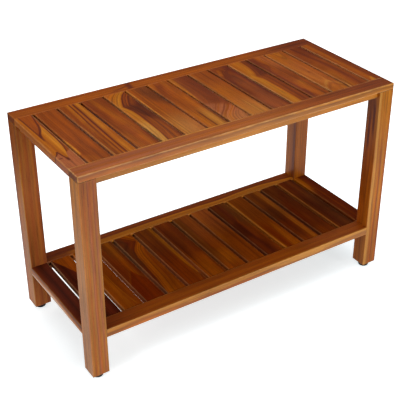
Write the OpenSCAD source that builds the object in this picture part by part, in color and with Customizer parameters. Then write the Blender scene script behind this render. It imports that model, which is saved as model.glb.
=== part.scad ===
// Slatted hardwood shower bench with a lower shelf, standing on four screw-in glides.
// The origin is the middle of the footprint, on the floor. +X runs along the seat,
// +Y from front to back and +Z up. All sizes are in millimetres.

/* [Overall] */
// Length of the seat, left to right
bench_l = 737; // [640:1:900]
// Depth of the seat, front to back
bench_d = 307; // [260:1:400]
// Height of the seat above the floor, glides screwed in
seat_h = 465; // [400:1:520]
// Height of the shelf's top face above the floor
shelf_h = 116; // [95:1:180]

/* [Legs] */
// Side of the square leg
leg_s = 36.5; // [34:0.5:44]
// Rounding of the legs' long edges
leg_round = 1.5; // [0.5:0.1:3]
// Rounding of the leg's lower end
leg_foot_round = 2.2; // [0.5:0.1:4]

/* [Seat frame] */
// Thickness of the seat's rails
seat_rail_t = 13.5; // [13:0.5:20]
// Width of the seat's long rails and end rails
seat_rail_w = 36.5; // [30:0.5:50]
// Rounding of the seat's outer edges
seat_edge_round = 2; // [0.5:0.1:3]

/* [Aprons] */
// Height of the aprons under the seat
apron_h = 15.5; // [15:0.5:40]
// Thickness of the aprons
apron_t = 18; // [14:0.5:24]

/* [Shelf frame] */
// Thickness of the shelf's rails
shelf_rail_t = 18.5; // [16:0.5:24]

/* [Slats] */
// Number of slats in the seat, and in the shelf
slat_count = 13; // [9:1:15]
// Thickness of the slats
slat_t = 13; // [9:0.5:13]
// Gap between the slats of the seat
seat_gap = 5.2; // [3:0.1:8]
// Gap between the slats of the shelf
shelf_gap = 7.6; // [4:0.1:10]
// Gap between the shelf's end rails and the slats beside them
shelf_end_gap = 8.4; // [4:0.1:10]
// Rounding of the edges beside a gap of the seat
seat_slat_round = 1.7; // [0.3:0.1:2]
// Rounding of the edges beside a gap of the shelf
shelf_slat_round = 0.9; // [0.3:0.1:2]

/* [Joinery] */
// Clearance round tenons, tongues and dowels
joint_gap = 0.15; // [0.05:0.05:0.3]
// Length of the mitred tenons inside a leg
tenon_l = 19; // [16:0.5:20]
// Thickness of an apron's tenon
apron_tenon_t = 8; // [6:0.5:10]
// Height of an apron's tenon
apron_tenon_h = 10; // [8:0.5:11]
// Width of a shelf rail's tenon
shelf_tenon_w = 22; // [18:0.5:26]
// Thickness of a shelf rail's tenon
shelf_tenon_t = 9; // [6:0.5:10]
// Width of a seat end rail's tenon
seat_tenon_w = 24; // [18:0.5:26]
// Thickness of a seat end rail's tenon
seat_tenon_t = 5; // [4:0.5:6]
// Length of a seat end rail's tenon
seat_tenon_l = 14; // [8:0.5:18]
// Thickness of the tongue on each end of a slat
tongue_t = 4; // [3:0.5:5]
// Length of the tongue on each end of a slat
tongue_l = 7; // [4:0.5:9]
// Step from the side of a slat to its tongue
tongue_step = 3; // [2:0.5:6]
// Space left at the bottom of grooves, mortises and dowel holes
end_gap = 0.5; // [0.3:0.1:1]
// Diameter of the dowels that hold the seat
dowel_d = 6; // [5:0.5:6]
// How far a dowel reaches into the seat
dowel_up = 8.5; // [6:0.5:9]
// How far a dowel reaches down into a leg
leg_dowel_down = 22; // [15:1:30]
// How far a dowel reaches down into an apron
apron_dowel_down = 8.5; // [6:0.5:9]
// Distance from a leg's faces to the middle of its dowels
dowel_in = 8; // [6.5:0.5:8.5]
// Dowels along each long apron
long_apron_dowels = 3; // [2:1:5]

/* [Glides] */
// Diameter of the round foot pad
pad_d = 23; // [18:0.5:30]
// Height of the foot pad
pad_h = 11; // [9:0.5:14]
// Gap between the pad and the leg with the glide screwed in
pad_gap = 0.3; // [0.3:0.1:1]
// Rounding of the pad's lower edge
pad_round = 2; // [1:0.1:3]
// Bevel of the pad's upper edge
pad_bevel = 0.8; // [0.4:0.1:1.5]
// Diameter of the stud
stud_d = 8; // [6:0.5:8]
// Length of the stud
stud_l = 32; // [28:1:40]
// Depth of the stud's seat in the pad
stud_seat = 7; // [5:0.5:8]
// Running clearance round the stud
stud_gap = 0.06; // [0.02:0.01:0.1]
// Outer diameter of the insert's sleeve
insert_d = 11; // [10:0.5:13]
// Length of the insert
insert_l = 20; // [14:1:24]
// Diameter of the insert's flange
insert_flange_d = 16; // [15:0.5:20]
// Thickness of the insert's flange
insert_flange_t = 1.2; // [1:0.1:2]
// Depth of the hole above the stud
stud_room = 10; // [4:1:20]
// How much wider than the stud the hole above the insert is
stud_hole_gap = 1; // [0.5:0.1:2]

/* [Hidden] */
$fn = 48;
// Small overrun of a cutting shape past a face
over = 1;
SIDES_X = [["left", -1], ["right", 1]];
SIDES_Y = [["front", -1], ["back", 1]];
CORNERS = [for (y = SIDES_Y) for (x = SIDES_X) [str(y[0], "_", x[0]), x[1], y[1]]];

// Levels, from the floor up
leg_foot_z = pad_h + pad_gap;
leg_top_z = seat_h - seat_rail_t;
leg_len = leg_top_z - leg_foot_z;
apron_z = leg_top_z - apron_h;
shelf_rail_z = shelf_h - shelf_rail_t;

// Spans between the legs, and between the seat's rails
legs_l = bench_l - 2 * leg_s;
legs_d = bench_d - 2 * leg_s;
seat_l = bench_l - 2 * seat_rail_w;
seat_d = bench_d - 2 * seat_rail_w;

// The slats share what the gaps leave of each span
seat_slat_w = (seat_l - (slat_count + 1) * seat_gap) / slat_count;
shelf_slat_w = (legs_l - 2 * shelf_end_gap - (slat_count - 1) * shelf_gap) / slat_count;

// Centre line of the aprons, dowels and tenons, measured from the leg's inner faces
mid = leg_s / 2;
groove_t = tongue_t + 2 * joint_gap;
groove_deep = tongue_l + end_gap;
dowel_hole_d = dowel_d + 2 * joint_gap;
// Rounding of edges that meet another piece, or lie under the seat
inner_round = 0.5;
apron_round = 1;

// Tones of the boards, from left to right
RED = "#96451f";
BROWN = "#7d3a1a";
DARK = "#5e2a16";
GOLD = "#c0762c";
TAN = "#b06c34";
SEAT_TONES = [RED, BROWN, RED, GOLD, TAN, RED, DARK, TAN, DARK, GOLD, RED, TAN, BROWN];
SHELF_TONES = [BROWN, RED, BROWN, RED, DARK, BROWN, RED, DARK, BROWN, DARK, RED, DARK, BROWN];

// ---- Shared shapes ----

// What an eased edge takes off a square corner at the origin
module edge_waste(r) {
    difference() {
        translate([-over, -over]) square(r + over);
        translate([r, r]) circle(r);
    }
}

// Section of a board from the origin to [w, t]; rounds are the roundings of its corners,
// anticlockwise from the origin, and 0 leaves a corner square
module section(w, t, rounds) {
    difference() {
        square([w, t]);
        if (rounds[0] > 0) edge_waste(rounds[0]);
        if (rounds[1] > 0) translate([w, 0]) mirror([1, 0]) edge_waste(rounds[1]);
        if (rounds[2] > 0) translate([w, t]) rotate(180) edge_waste(rounds[2]);
        if (rounds[3] > 0) translate([0, t]) mirror([0, 1]) edge_waste(rounds[3]);
    }
}

// Extrudes a section along X, centred, with the section's x turned to +Y and its y to +Z
module along_x(l) {
    rotate([90, 0, 90]) linear_extrude(l, center = true) children();
}

// Extrudes a section along Y, centred, with the section's x kept on +X and its y turned to +Z
module along_y(l) {
    rotate([90, 0, 0]) linear_extrude(l, center = true) children();
}

// Moves to the inner corner of a leg, with local +X and +Y pointing outwards
module at_leg(sx, sy) {
    translate([sx * legs_l / 2, sy * legs_d / 2])
        mirror([sx < 0 ? 1 : 0, 0])
            mirror([0, sy < 0 ? 1 : 0])
                children();
}

// Swaps local X and Y, which turns a long rail's joint into an end rail's
module crosswise() {
    mirror([1, -1]) children();
}

// Plan of a tenon that enters a leg along local +X. Its end is cut to a mitre, so that the
// tenon from the other side can pass close behind it.
module tenon_plan(w) {
    near = mid - w / 2;
    far = mid + w / 2;
    polygon([
        [-over, near],
        [near - joint_gap, near],
        [tenon_l, tenon_l + joint_gap],
        [tenon_l, far],
        [-over, far]
    ]);
}

// Plan of the L-shaped mortise that takes both tenons of one corner
module mortise_plan(w) {
    near = mid - w / 2 - joint_gap;
    arm = w + 2 * joint_gap;
    deep = tenon_l + end_gap;
    translate([-over, near]) square([deep + over, arm]);
    translate([near, -over]) square([arm, deep + over]);
}

// ---- Seat ----

// Groove along the inner edge of a back rail, which takes the tongues of slats whose top is
// at slat_top
module tongue_groove(l, edge_y, slat_top) {
    translate([-l / 2, edge_y - over, slat_top - slat_t / 2 - groove_t / 2])
        cube([l, groove_deep + over, groove_t]);
}

// Long rail, which runs the whole length and covers the tops of two legs
module seat_rail(sy) {
    color(BROWN)
        mirror([0, sy > 0 ? 0 : 1])
            difference() {
                translate([0, seat_d / 2, leg_top_z]) seat_rail_blank();
                tongue_groove(seat_l, seat_d / 2, seat_h);
                for (sx = [-1, 1]) seat_rail_mortise(sx);
                for (sx = [-1, 1]) at_leg(sx, 1) leg_dowel_holes();
                apron_dowel_row(dowel_hole_d, dowel_up + end_gap, over);
            }
}

// The rail's outline: eased along its length, at its ends and at its corners
module seat_rail_blank() {
    out = seat_edge_round;
    intersection() {
        along_x(bench_l) section(seat_rail_w, seat_rail_t, [inner_round, out, out, inner_round]);
        translate([-bench_l / 2, 0])
            linear_extrude(seat_rail_t) section(bench_l, seat_rail_w, [inner_round, inner_round, out, out]);
        translate([-bench_l / 2, seat_rail_w / 2])
            along_y(seat_rail_w) section(bench_l, seat_rail_t, [out, out, out, out]);
    }
}

// Mortise in a long rail for the tenon of an end rail
module seat_rail_mortise(sx) {
    w = seat_tenon_w + 2 * joint_gap;
    t = seat_tenon_t + 2 * joint_gap;
    translate([sx * (seat_l + seat_rail_w) / 2 - w / 2, seat_d / 2 - over, seat_h - seat_rail_t / 2 - t / 2])
        cube([w, seat_tenon_l + end_gap + over, t]);
}

// End rail, which is tenoned between the long rails
module seat_end(sx) {
    out = seat_edge_round;
    tenon_span = seat_d + 2 * seat_tenon_l;
    color(sx < 0 ? RED : GOLD)
        mirror([sx > 0 ? 0 : 1, 0])
            difference() {
                translate([seat_l / 2, 0]) union() {
                    translate([0, 0, leg_top_z])
                        along_y(seat_d)
                            section(seat_rail_w, seat_rail_t, [inner_round, out, out, inner_round]);
                    translate([
                        (seat_rail_w - seat_tenon_w) / 2,
                        -tenon_span / 2,
                        seat_h - seat_rail_t / 2 - seat_tenon_t / 2
                    ])
                        cube([seat_tenon_w, tenon_span, seat_tenon_t]);
                }
                end_apron_dowel(dowel_hole_d, dowel_up + end_gap, over);
            }
}

// Slat between two long rails, with a tongue on each end
module slat(x, w, l, top, round) {
    translate([x, 0]) {
        translate([-w / 2, 0, top - slat_t])
            along_y(l) section(w, slat_t, [inner_round, inner_round, round, round]);
        translate([-w / 2 + tongue_step, -l / 2 - tongue_l, top - slat_t / 2 - tongue_t / 2])
            cube([w - 2 * tongue_step, l + 2 * tongue_l, tongue_t]);
    }
}

// Middle of slat i when slats of width w fill a row with gaps between them
function slat_x(i, w, gap) = (i - (slat_count + 1) / 2) * (w + gap);

module seat_slat(i) {
    color(SEAT_TONES[(i - 1) % len(SEAT_TONES)])
        slat(slat_x(i, seat_slat_w, seat_gap), seat_slat_w, seat_d, seat_h, seat_slat_round);
}

// ---- Aprons ----

module apron_section() {
    section(apron_t, apron_h, [apron_round, apron_round, 0, 0]);
}

// Tenon of an apron in the corner of a leg, along local +X
module apron_tenon() {
    translate([0, 0, apron_z + (apron_h - apron_tenon_h) / 2])
        linear_extrude(apron_tenon_h) tenon_plan(apron_tenon_t);
}

module long_apron(sy) {
    color(TAN)
        mirror([0, sy > 0 ? 0 : 1])
            difference() {
                union() {
                    translate([0, legs_d / 2 + mid - apron_t / 2, apron_z]) along_x(legs_l) apron_section();
                    for (sx = [-1, 1]) at_leg(sx, 1) apron_tenon();
                }
                apron_dowel_row(dowel_hole_d, over, apron_dowel_down + end_gap);
            }
}

module end_apron(sx) {
    color(BROWN)
        mirror([sx > 0 ? 0 : 1, 0])
            difference() {
                union() {
                    translate([legs_l / 2 + mid - apron_t / 2, 0, apron_z]) along_y(legs_d) apron_section();
                    for (sy = [-1, 1]) at_leg(1, sy) crosswise() apron_tenon();
                }
                end_apron_dowel(dowel_hole_d, over, apron_dowel_down + end_gap);
            }
}

// ---- Legs ----

// Outline of a leg from its inner corner, eased along its edges and at its foot
module leg_blank() {
    foot = leg_foot_round;
    translate([0, 0, leg_foot_z])
        intersection() {
            linear_extrude(leg_len) section(leg_s, leg_s, [leg_round, leg_round, leg_round, leg_round]);
            translate([0, leg_s / 2]) along_y(leg_s) section(leg_s, leg_len + over, [foot, foot, 0, 0]);
            translate([leg_s / 2, 0]) along_x(leg_s) section(leg_s, leg_len + over, [foot, foot, 0, 0]);
        }
}

module leg(sx, sy, tone) {
    mortise_t = shelf_tenon_t + 2 * joint_gap;
    color(tone)
        at_leg(sx, sy)
            difference() {
                leg_blank();
                translate([0, 0, apron_z + (apron_h - apron_tenon_h) / 2 - joint_gap])
                    linear_extrude(apron_tenon_h + 2 * joint_gap) mortise_plan(apron_tenon_t);
                translate([0, 0, shelf_h - shelf_rail_t / 2 - mortise_t / 2])
                    linear_extrude(mortise_t) mortise_plan(shelf_tenon_w);
                leg_dowel_holes();
                glide_hole();
            }
}

// ---- Dowels ----

// Upright dowel, or its hole, through the joint between the seat and what is under it
module dowel(d, up, down) {
    translate([0, 0, leg_top_z - down]) cylinder(d = d, h = up + down);
}

// The two places of a leg's dowels, from its inner corner
module leg_dowel_places() {
    for (x = [dowel_in, leg_s - dowel_in]) translate([x, leg_s - dowel_in]) children();
}

module leg_dowel_holes() {
    leg_dowel_places() dowel(dowel_hole_d, dowel_up + end_gap, leg_dowel_down + end_gap);
}

// Row of dowels along the back apron
module apron_dowel_row(d, up, down) {
    step = legs_l / long_apron_dowels;
    for (i = [1:long_apron_dowels])
        translate([(i - (long_apron_dowels + 1) / 2) * step, legs_d / 2 + mid]) dowel(d, up, down);
}

// Dowel at the middle of the right apron
module end_apron_dowel(d, up, down) {
    translate([legs_l / 2 + mid, 0]) dowel(d, up, down);
}

module leg_dowels() {
    color("burlywood")
        for (sx = [-1, 1]) for (sy = [-1, 1])
            at_leg(sx, sy) leg_dowel_places() dowel(dowel_d, dowel_up, leg_dowel_down);
}

module apron_dowels() {
    color("burlywood") {
        for (m = [0, 1]) mirror([0, m]) apron_dowel_row(dowel_d, dowel_up, apron_dowel_down);
        for (m = [0, 1]) mirror([m, 0]) end_apron_dowel(dowel_d, dowel_up, apron_dowel_down);
    }
}

// ---- Shelf ----

module shelf_section() {
    section(leg_s, shelf_rail_t, [leg_round, leg_round, leg_round, leg_round]);
}

// Tenon of a shelf rail in the corner of a leg, along local +X
module shelf_tenon() {
    translate([0, 0, shelf_h - shelf_rail_t / 2 - shelf_tenon_t / 2])
        linear_extrude(shelf_tenon_t) tenon_plan(shelf_tenon_w);
}

module shelf_rail(sy) {
    color(sy < 0 ? RED : BROWN)
        mirror([0, sy > 0 ? 0 : 1])
            difference() {
                union() {
                    translate([0, legs_d / 2, shelf_rail_z]) along_x(legs_l) shelf_section();
                    for (sx = [-1, 1]) at_leg(sx, 1) shelf_tenon();
                }
                tongue_groove(legs_l, legs_d / 2, shelf_h);
            }
}

module shelf_end(sx) {
    color(DARK)
        mirror([sx > 0 ? 0 : 1, 0]) {
            translate([legs_l / 2, 0, shelf_rail_z]) along_y(legs_d) shelf_section();
            for (sy = [-1, 1]) at_leg(1, sy) crosswise() shelf_tenon();
        }
}

module shelf_slat(i) {
    color(SHELF_TONES[(i - 1) % len(SHELF_TONES)])
        slat(slat_x(i, shelf_slat_w, shelf_gap), shelf_slat_w, legs_d, shelf_h, shelf_slat_round);
}

// ---- Glides ----

// Moves to the middle of a leg's foot
module at_foot(sx, sy) {
    at_leg(sx, sy) translate([mid, mid]) children();
}

// Stepped hole in the leg's foot for the insert and the stud
module glide_hole() {
    stud_top = pad_h - stud_seat + end_gap + stud_l;
    translate([mid, mid, leg_foot_z]) {
        translate([0, 0, -over]) cylinder(d = insert_flange_d + 2 * joint_gap, h = over + insert_flange_t);
        translate([0, 0, -over]) cylinder(d = insert_d, h = over + insert_l);
        cylinder(d = stud_d + stud_hole_gap, h = stud_top - leg_foot_z + stud_room);
    }
}

// Flanged sleeve, pressed into the leg, in which the stud turns
module glide_insert(sx, sy) {
    color("silver")
        at_foot(sx, sy)
            translate([0, 0, leg_foot_z])
                difference() {
                    union() {
                        cylinder(d = insert_flange_d, h = insert_flange_t);
                        cylinder(d = insert_d, h = insert_l);
                    }
                    translate([0, 0, -over]) cylinder(d = stud_d + 2 * stud_gap, h = insert_l + 2 * over);
                }
}

module glide_stud(sx, sy) {
    color("gainsboro")
        at_foot(sx, sy)
            translate([0, 0, pad_h - stud_seat + end_gap])
                cylinder(d = stud_d, h = stud_l);
}

// Turned foot pad with a rounded lower edge and a bevelled upper one
module glide_pad(sx, sy) {
    r = pad_d / 2;
    color("#161616")
        at_foot(sx, sy)
            difference() {
                rotate_extrude()
                    difference() {
                        polygon([[0, 0], [r, 0], [r, pad_h - pad_bevel], [r - pad_bevel, pad_h], [0, pad_h]]);
                        translate([r, 0]) mirror([1, 0]) edge_waste(pad_round);
                    }
                translate([0, 0, pad_h - stud_seat]) cylinder(d = stud_d + 2 * stud_gap, h = stud_seat + over);
            }
}

// ---- The bench ----

for (y = SIDES_Y) seat_rail(y[1]);
for (x = SIDES_X) seat_end(x[1]);
for (i = [1:slat_count]) seat_slat(i);
for (y = SIDES_Y) long_apron(y[1]);
for (x = SIDES_X) end_apron(x[1]);
for (c = CORNERS) leg(c[1], c[2], c[1] < 0 ? RED : GOLD);
for (y = SIDES_Y) shelf_rail(y[1]);
for (x = SIDES_X) shelf_end(x[1]);
for (i = [1:slat_count]) shelf_slat(i);
for (c = CORNERS) glide_insert(c[1], c[2]);
for (c = CORNERS) glide_stud(c[1], c[2]);
for (c = CORNERS) glide_pad(c[1], c[2]);
leg_dowels();
apron_dowels();
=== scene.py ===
"""Slatted teak shower bench: oiled boards, screw-in glides and a plain pale studio, laid over the
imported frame. The board recipes are in millimetres and the scene itself is in metres."""

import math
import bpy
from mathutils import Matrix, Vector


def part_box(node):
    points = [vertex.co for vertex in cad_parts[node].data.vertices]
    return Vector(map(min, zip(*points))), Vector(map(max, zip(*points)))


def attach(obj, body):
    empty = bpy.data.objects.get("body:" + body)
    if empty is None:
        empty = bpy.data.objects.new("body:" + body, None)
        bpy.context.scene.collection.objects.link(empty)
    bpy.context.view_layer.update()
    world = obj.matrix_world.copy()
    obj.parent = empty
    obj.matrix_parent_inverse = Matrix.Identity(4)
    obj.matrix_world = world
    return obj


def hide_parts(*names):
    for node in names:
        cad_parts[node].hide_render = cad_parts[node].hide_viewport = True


bl_info = {
    "name": "Slatted Teak Bench",
    "version": (1, 0, 0),
    "blender": (4, 5, 0),
    "location": "View3D > Sidebar > Bench",
    "description": "Oiled teak boards, screw-in glides and a plain studio for a slatted bench",
    "category": "Object",
}

import bmesh
import bpy
from bpy.props import FloatProperty, FloatVectorProperty, IntProperty, PointerProperty
from mathutils import Matrix, Vector

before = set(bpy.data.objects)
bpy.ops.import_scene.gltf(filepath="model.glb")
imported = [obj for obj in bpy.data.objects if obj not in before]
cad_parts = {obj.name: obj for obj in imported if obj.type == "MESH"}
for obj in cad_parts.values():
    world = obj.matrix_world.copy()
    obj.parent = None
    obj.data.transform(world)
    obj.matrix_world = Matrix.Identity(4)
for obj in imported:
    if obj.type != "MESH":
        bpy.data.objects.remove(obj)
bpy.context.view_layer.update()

MM = 0.001
QUARTER = math.pi / 2
# How a board lies, by the axis that its grain runs along: the turn that lays a board with its grain
# along Y and its face up, and which axes of the bench are then its across, along and through
LIES = (
    ((0.0, 0.0, -QUARTER), (1, 0, 2)),
    ((0.0, 0.0, 0.0), (0, 1, 2)),
    ((QUARTER, 0.0, 0.0), (0, 2, 1)),
)
CORNERS = ("front_left", "front_right", "back_left", "back_right")


# ---- Sizes and colours a user may change ----


def tone(name, description, colour):
    """A wood tone, as linear red, green and blue."""
    facts = {"name": name, "description": description, "default": colour}
    return FloatVectorProperty(**facts, subtype="COLOR", size=3, min=0.0, max=1.0)


def amount(name, description, low, default, high, unit="NONE"):
    """A number with its limits either side of its default."""
    facts = {"name": name, "description": description, "default": default}
    return FloatProperty(**facts, min=low, max=high, unit=unit)


class BENCH_PG_tones(bpy.types.PropertyGroup):
    """Tones of the teak boards"""

    sapwood: tone("Sapwood", "Palest wood, at the outside of the log", (0.58, 0.25, 0.04))
    straw: tone("Straw", "Bright yellow heartwood", (0.52, 0.175, 0.01))
    honey: tone("Honey", "Golden heartwood", (0.46, 0.127, 0.004))
    amber: tone("Amber", "Orange-brown heartwood", (0.385, 0.09, 0.003))
    russet: tone("Russet", "Red-brown heartwood", (0.31, 0.062, 0.003))
    chestnut: tone("Chestnut", "Medium brown heartwood", (0.255, 0.049, 0.003))
    walnut: tone("Walnut", "Dark red-brown heart", (0.185, 0.031, 0.004))
    plum: tone("Plum", "Purple-brown dark heart", (0.12, 0.018, 0.006))
    umber: tone("Umber", "Darkest streaks and growth lines", (0.052, 0.009, 0.004))
    wine: tone("Wine", "Deep red heart", (0.20, 0.019, 0.001))
    # This rosy tone is partly the wood's own colour and partly a painted sheen, laid on the front ends of
    # the seat's slats and rail where the oiled face catches the light
    rose: tone("Rose", "Rosy brown where the oil has dried paler", (0.39, 0.105, 0.032))
    sand: tone("Sand", "Olive-brown heartwood on the legs and rails", (0.40, 0.142, 0.012))
    # This pale grey-brown is a painted sheen: it stands in for the reflection of the pale floor on the
    # outer sides of the legs and of the shelf's left end
    bloom: tone("Bloom", "Grey-brown bloom of dried oil on outer sides", (0.66, 0.44, 0.32))
    # Old oil is painted shade: it darkens the backs of the shelf's slats, and of a seat slat, where the
    # seat above shades them
    oil: tone("Old oil", "Dull dark brown where old oil has gathered", (0.05, 0.032, 0.010))


class BENCH_PG_surface(bpy.types.PropertyGroup):
    """How the oiled surface looks"""

    gloss: amount("Roughness", "Roughness of the oiled face of a board", 0.1, 0.36, 0.9)
    coat: amount("Oil coat", "Strength of the oil film over the wood", 0.0, 0.03, 1.0)
    relief: amount("Grain relief", "Height of the open grain in the bump", 0.0, 0.00009, 0.001, "LENGTH")
    worn_and_lit_band: amount("Worn edge", "Width of the paler band along the edges", 0.0005, 0.0026, 0.01, "LENGTH")


class BENCH_PG_glides(bpy.types.PropertyGroup):
    """Sizes of the glides' threads"""

    pitch: amount("Thread pitch", "Rise of the thread in one turn", 0.0005, 0.00125, 0.002, "LENGTH")
    depth: amount("Thread depth", "Depth of the stud's thread", 0.0002, 0.0007, 0.001, "LENGTH")
    sides: IntProperty(
        name="Thread sides",
        description="Sides in one turn of the stud's thread",
        min=12,
        max=96,
        default=36,
    )


class BENCH_PG_stage(bpy.types.PropertyGroup):
    """Floor, lights and camera"""

    floor_radius: amount("Floor radius", "Radius of the pale floor", 5.0, 30.0, 60.0, "LENGTH")
    overhead: amount("Overhead light", "Watts of the large softbox above the bench", 0.0, 61.0, 500.0)
    front: amount("Front light", "Watts of the softbox in front of the bench", 0.0, 32.0, 500.0)
    side: amount("Side light", "Watts of the softbox to the left of the bench", 0.0, 25.0, 500.0)
    floor_glow: amount("Floor glow", "Light that the sweep adds, well away from the bench", 0.0, 0.92, 2.0)


# ---- Node wiring: a value is a number, a colour, or the socket that carries it ----


def feed(node, inputs):
    """Sets inputs of a node, by their names or places."""
    for key, value in inputs.items():
        if isinstance(value, bpy.types.NodeSocket):
            node.id_data.links.new(value, node.inputs[key])
        else:
            node.inputs[key].default_value = value


def add(tree, kind, inputs=None, **settings):
    """A new node with its settings and inputs."""
    node = tree.nodes.new("ShaderNode" + kind)
    for key, value in settings.items():
        setattr(node, key, value)
    feed(node, inputs or {})
    return node


def tree_of(values):
    """The node tree of the first socket among some values."""
    return next(value.id_data for value in values if isinstance(value, bpy.types.NodeSocket))


def calc(operation, *terms, clamp=False):
    """Maths on numbers."""
    inputs = dict(enumerate(terms))
    return add(tree_of(terms), "Math", inputs, operation=operation, use_clamp=clamp).outputs[0]


def times(first, *others):
    """The product of some values."""
    for other in others:
        first = calc("MULTIPLY", first, other)
    return first


def swing(wave, share, base):
    """Lets a noise swing a value, by up to half of share either way."""
    return calc("MULTIPLY_ADD", calc("SUBTRACT", wave, 0.5), share, base)


def move(operation, *terms):
    """Vector maths."""
    inputs = dict(zip((0, "Scale" if operation == "SCALE" else 1), terms))
    node = add(tree_of(terms), "VectorMath", inputs, operation=operation)
    return node.outputs["Value" if operation == "LENGTH" else "Vector"]


def split(vector):
    """The three parts of a vector."""
    return add(vector.id_data, "SeparateXYZ", {0: vector}).outputs


def ease(value, low, high, to_low=0.0, to_high=1.0):
    """A smooth step from to_low at low to to_high at high."""
    inputs = {"Value": value, "From Min": low, "From Max": high, "To Min": to_low, "To Max": to_high}
    return add(value.id_data, "MapRange", inputs, interpolation_type="SMOOTHSTEP").outputs[0]


def tint(factor, under, over, mode="MIX"):
    """Lays one colour over another."""
    inputs = {0: factor, 6: under, 7: over}
    return add(tree_of(inputs.values()), "Mix", inputs, data_type="RGBA", blend_type=mode).outputs[2]


def shade(colour, light):
    """Scales a colour by how light it is to be."""
    return tint(1.0, colour, move("SCALE", (1.0, 1.0, 1.0), light), "MULTIPLY")


def noise(vector, seed, detail=2.0, roughness=0.5, output="Fac"):
    """Noise in space, which another seed changes."""
    inputs = {"Vector": vector, "W": seed, "Scale": 1.0, "Detail": detail, "Roughness": roughness}
    return add(vector.id_data, "TexNoise", inputs, noise_dimensions="4D").outputs[output]


def line_noise(value, seed, detail, roughness=0.5):
    """Noise along one number, as in the growth of a log from its pith outwards."""
    inputs = {"W": calc("ADD", value, seed), "Scale": 1.0, "Detail": detail, "Roughness": roughness}
    return add(value.id_data, "TexNoise", inputs, noise_dimensions="1D").outputs[0]


def stretch(vector, across, along):
    """Scales board coordinates, so that noise runs with the grain."""
    return move("MULTIPLY", vector, (across, along, across))


SOCKETS = {float: "NodeSocketFloat", tuple: "NodeSocketColor", list: "NodeSocketVector"}
NOWHERE = [0.0, 0.0, 0.0]


def spoken(inputs):
    """Inputs by their labels, in which a keyword's underscores are spaces."""
    return {key.replace("_", " "): value for key, value in inputs.items()}


def start_group(name, outputs, **inputs):
    """A node group whose sockets are named here. A float, a colour tuple or a vector list gives
    each input's kind and value. Returns the tree, its entry sockets and its exit node."""
    tree = bpy.data.node_groups.new(name, "ShaderNodeTree")
    for label, value in spoken(inputs).items():
        socket = tree.interface.new_socket(name=label, in_out="INPUT", socket_type=SOCKETS[type(value)])
        socket.default_value = value
    for label, kind in outputs.items():
        tree.interface.new_socket(name=label, in_out="OUTPUT", socket_type=SOCKETS[kind])
    entry = tree.nodes.new("NodeGroupInput")
    return tree, entry.outputs, tree.nodes.new("NodeGroupOutput")


def use(tree, name, **inputs):
    """Places a shared node group in a material and returns its outputs."""
    return add(tree, "Group", spoken(inputs), node_tree=bpy.data.node_groups[name]).outputs


# ---- Shared effects: noise frequencies are in waves a metre ----

NO_LENGTH = (1.0, 0.0, 1.0)
RIPPLE = 0.22
END_GRAIN = (0.56, 0.50, 0.50, 1.0)
# The pale tan laid on the sides of boards inside gaps: painted light in the shaded gaps
PAINTED_GAP_LIGHT = (0.42, 0.25, 0.12, 1.0)
# The pale colour laid over eased edges: partly real wear, and partly a painted highlight where an arris
# catches the light
RUBBED_AND_HIGHLIT = (0.80, 0.46, 0.17, 1.0)
PALE_THREAD = (1.32, 1.36, 1.3, 1.0)


def make_board_place():
    """Where a point lies in its board: across, along and through, from the board's middle. It also
    marks end grain, and how near an eased edge a point is."""
    outputs = {"Place": list, "End grain": float, "Side": float, "Edge": float}
    tree, given, leave = start_group(
        "Board place", outputs, Middle=NOWHERE, Turn=NOWHERE, Half=[0.02, 0.1, 0.005], Wear=0.002
    )
    seen = add(tree, "TexCoord").outputs
    inputs = {"Vector": seen["Object"], "Location": given["Middle"], "Rotation": given["Turn"]}
    place = add(tree, "Mapping", inputs, vector_type="TEXTURE").outputs[0]
    inputs = {"Vector": seen["Normal"], "Rotation": given["Turn"]}
    across, along, _ = split(add(tree, "Mapping", inputs, vector_type="TEXTURE").outputs[0])
    x, y, z = split(move("SUBTRACT", given["Half"], move("ABSOLUTE", place)))
    # Of the distances to the three pairs of faces, the middle one is the way to the nearest edge
    high = calc("MINIMUM", calc("MAXIMUM", x, y), z)
    away = calc("MAXIMUM", calc("MINIMUM", x, y), high)
    ragged = swing(noise(stretch(place, 160.0, 45.0), 3.1), 0.004, away)
    feed(leave, {
        "Place": place,
        "End grain": ease(calc("ABSOLUTE", along), 0.55, 0.9),
        "Side": ease(calc("ABSOLUTE", across), 0.45, 0.95),
        "Edge": ease(ragged, 0.0, given["Wear"], 1.0, 0.0),
    })


def make_growth():
    """The growth of the log through a board: how far out from the pith a point grew, less the
    distance at the board's middle. The pith leans along the board, wavers, and can be bent."""
    tree, given, leave = start_group(
        "Growth", {"Rings": float, "Grain": list}, Place=NOWHERE, Pith=[-0.12, 0.0, -0.02],
        Lean=NOWHERE, Waver=0.001, Run=6.0, Bend=0.0, Seed=0.0,
    )
    place = given["Place"]
    spread = add(tree, "CombineXYZ", {0: 26.0, 1: given["Run"], 2: 26.0}).outputs[0]
    drift = noise(move("MULTIPLY", place, spread), given["Seed"], 1.0, output="Color")
    ripple = noise(stretch(place, 120.0, 22.0), calc("ADD", given["Seed"], 5.0), output="Color")
    drift = move("SCALE", move("SUBTRACT", drift, (0.5, 0.5, 0.5)), given["Waver"])
    ripple = move("SCALE", move("SUBTRACT", ripple, (0.5, 0.5, 0.5)), times(given["Waver"], RIPPLE))
    waver = move("MULTIPLY", move("ADD", drift, ripple), (4.0, 0.0, 4.0))
    bend = add(tree, "CombineXYZ", {0: given["Bend"]}).outputs[0]
    grain = move("ADD", move("ADD", place, waver), bend)
    pith = move("ADD", given["Pith"], move("SCALE", given["Lean"], split(place)[1]))
    out = move("LENGTH", move("MULTIPLY", move("SUBTRACT", grain, pith), NO_LENGTH))
    start = move("LENGTH", move("MULTIPLY", given["Pith"], NO_LENGTH))
    feed(leave, {"Rings": calc("SUBTRACT", out, start), "Grain": grain})


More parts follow.
